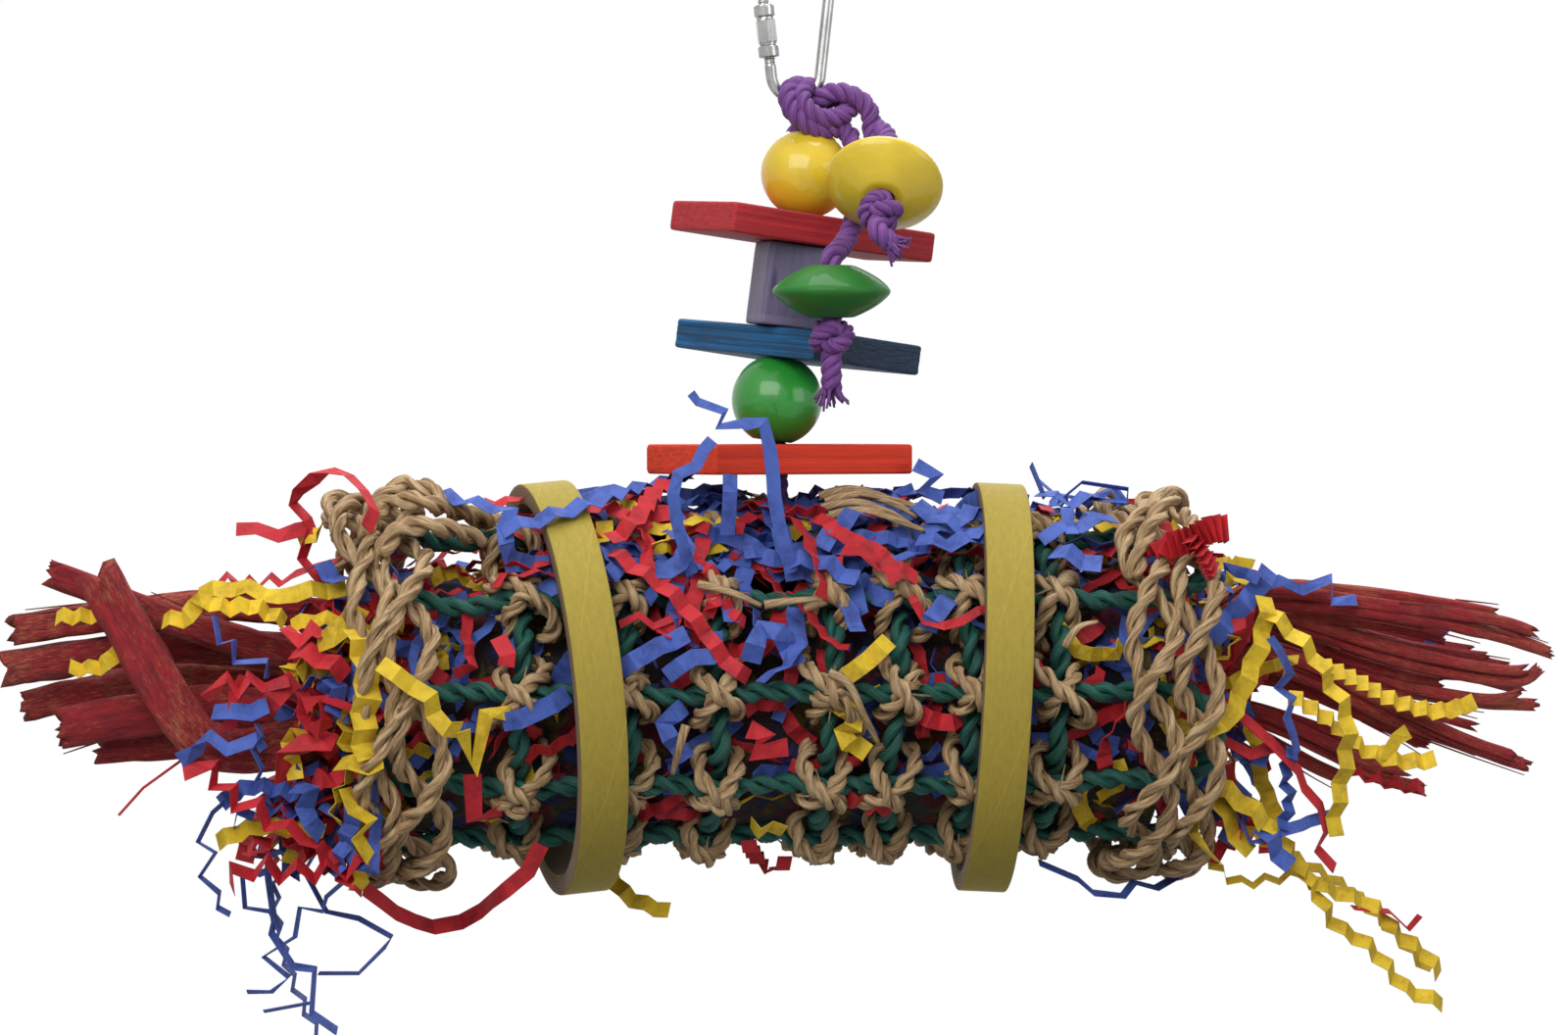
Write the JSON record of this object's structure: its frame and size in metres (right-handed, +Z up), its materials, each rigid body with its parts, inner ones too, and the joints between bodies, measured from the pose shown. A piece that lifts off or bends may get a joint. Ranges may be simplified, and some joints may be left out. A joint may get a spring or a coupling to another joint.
{
  "type": "hanging bird toy",
  "caption": "Hanging bird toy: coloured wooden beads and slats on a rope above a woven cord tube stuffed with paper strips and dyed sticks, hung from a quick link.",
  "frame": {"origin": "hang point: the inside of the top bend of the quick link, where a cage bar bears", "axes": "+X along the woven tube, to the right in the picture; +Y away from the viewer; +Z up"},
  "size_m": [0.4343, 0.1149, 0.3108],
  "materials": {
    "steel": "bright zinc-plated steel wire",
    "rope": "purple laid poly rope, soft sheen",
    "yellow_lacquer": "yellow gloss lacquer on turned wood",
    "green_lacquer": "green gloss lacquer on turned wood",
    "red_wood": "red dye on sawn pine, grain showing",
    "lavender_wood": "grey lavender dye on wood",
    "blue_wood": "blue dye on rough-sawn pine",
    "orange_wood": "orange dye on pine",
    "card": "olive yellow dyed spiral-wound card",
    "green_cord": "dyed twisted seagrass cord",
    "natural_cord": "undyed twisted seagrass cord",
    "stick": "red-dyed fibrous palm stalk",
    "paper": "crinkled paper strips in red, blue and yellow",
    "blue_paper": "blue crinkled paper",
    "yellow_paper": "yellow crinkled paper"
  },
  "bodies": {
    "link": {"quick_link_body": "steel"},
    "gate_sleeve": {"quick_link_sleeve": "steel"},
    "hanging_rope": {"top_knot": "rope", "main_rope": "rope"},
    "yellow_bead": {"yellow_bead": "yellow_lacquer"},
    "red_slat": {"red_slat": "red_wood"},
    "lavender_block": {"lavender_block": "lavender_wood"},
    "blue_slat": {"blue_slat": "blue_wood"},
    "green_bead": {"green_bead": "green_lacquer"},
    "tassels": {"disc_tassel_rope": "rope", "disc_stopper_knot": "rope", "saucer_tassel_rope": "rope", "saucer_stopper_knot": "rope"},
    "yellow_disc": {"yellow_disc": "yellow_lacquer"},
    "green_saucer": {"green_saucer": "green_lacquer"},
    "rope_swivel": {"rope_tail": "rope"},
    "orange_slat": {"orange_slat": "orange_wood"},
    "tube": {"paper_stuffing": "paper", "hoop_cord_1": "green_cord", "hoop_cord_2": "green_cord", "hoop_cord_3": "green_cord", "hoop_cord_4": "green_cord", "hoop_cord_5": "green_cord", "hoop_cord_6": "green_cord", "hoop_cord_7": "green_cord", "lashing_cord_1": "natural_cord", "lashing_cord_2": "natural_cord", "lashing_cord_3": "natural_cord", "lashing_cord_4": "natural_cord", "lashing_cord_5": "natural_cord", "lashing_cord_6": "natural_cord", "lashing_cord_7": "natural_cord", "warp_cord_1": "green_cord", "warp_cord_2": "green_cord", "warp_cord_3": "green_cord", "warp_cord_4": "green_cord", "warp_cord_5": "green_cord", "end_band_left_inner": "natural_cord", "end_band_left_outer": "natural_cord", "end_band_right_inner": "natural_cord", "end_band_right_outer": "natural_cord", "stick_left_1": "stick", "stick_left_2": "stick", "stick_left_3": "stick", "stick_left_4": "stick", "stick_left_5": "stick", "stick_left_6": "stick", "stick_left_7": "stick", "stick_right_1": "stick", "stick_right_2": "stick", "stick_right_3": "stick", "stick_right_4": "stick", "stick_right_5": "stick", "stick_right_6": "stick", "paper_strip_left": "blue_paper", "paper_strip_right": "yellow_paper"},
    "ring_left": {"ring_left": "card"},
    "ring_right": {"ring_right": "card"}
  },
  "joints": [
    {"name": "gate_sleeve_slide", "type": "slide", "parent": "link", "child": "gate_sleeve", "axis": [-0.1104, 0, 0.9939], "range_m": [0, 0.011]},
    {"name": "toy_swing", "type": "hinge", "parent": "link", "child": "hanging_rope", "pos_m": [0, 0, -0.0472], "axis": [1, 0, 0], "range_deg": [-45, 45]},
    {"name": "yellow_bead_spin", "type": "hinge", "parent": "hanging_rope", "child": "yellow_bead", "pos_m": [0.0029, 0, -0.0677], "axis": [0.1288, 0, 0.9917], "continuous": true},
    {"name": "red_slat_turn", "type": "hinge", "parent": "hanging_rope", "child": "red_slat", "pos_m": [0.00088, 0, -0.08327], "axis": [0.1288, 0, 0.9917], "range_deg": [-6, 36]},
    {"name": "lavender_block_spin", "type": "hinge", "parent": "hanging_rope", "child": "lavender_block", "pos_m": [-0.00116, 0, -0.09894], "axis": [0.1288, 0, 0.9917], "continuous": true},
    {"name": "blue_slat_turn", "type": "hinge", "parent": "hanging_rope", "child": "blue_slat", "pos_m": [-0.00319, 0, -0.11461], "axis": [0.1288, 0, 0.9917], "range_deg": [-25, 90]},
    {"name": "green_bead_spin", "type": "hinge", "parent": "hanging_rope", "child": "green_bead", "pos_m": [-0.00521, 0, -0.13018], "axis": [0.1288, 0, 0.9917], "continuous": true},
    {"name": "tassel_swing", "type": "hinge", "parent": "hanging_rope", "child": "tassels", "pos_m": [0.0222, -0.0067, -0.0559], "axis": [-1, 0, 0], "range_deg": [0, 30]},
    {"name": "yellow_disc_spin", "type": "hinge", "parent": "tassels", "child": "yellow_disc", "pos_m": [0.0198, -0.0305, -0.0718], "axis": [-0.2006, -0.7222, -0.662], "continuous": true},
    {"name": "green_saucer_spin", "type": "hinge", "parent": "tassels", "child": "green_saucer", "pos_m": [0.0054, -0.0305, -0.101], "axis": [0, 0, 1], "continuous": true},
    {"name": "tube_turn", "type": "hinge", "parent": "hanging_rope", "child": "rope_swivel", "pos_m": [-0.005, 0, -0.1424], "axis": [0, 0, 1], "continuous": true},
    {"name": "orange_slat_spin", "type": "hinge", "parent": "rope_swivel", "child": "orange_slat", "pos_m": [-0.005, 0, -0.1465], "axis": [0, 0, 1], "continuous": true},
    {"name": "tube_rock", "type": "hinge", "parent": "rope_swivel", "child": "tube", "pos_m": [-0.005, 0, -0.1902], "axis": [0, 1, 0], "range_deg": [-2.5, 2.5]},
    {"name": "ring_left_slide", "type": "slide", "parent": "tube", "child": "ring_left", "axis": [1, 0, 0], "range_m": [-0.009, 0.003]},
    {"name": "ring_right_slide", "type": "slide", "parent": "tube", "child": "ring_right", "axis": [1, 0, 0], "range_m": [-0.003, 0.009]}
  ]
}
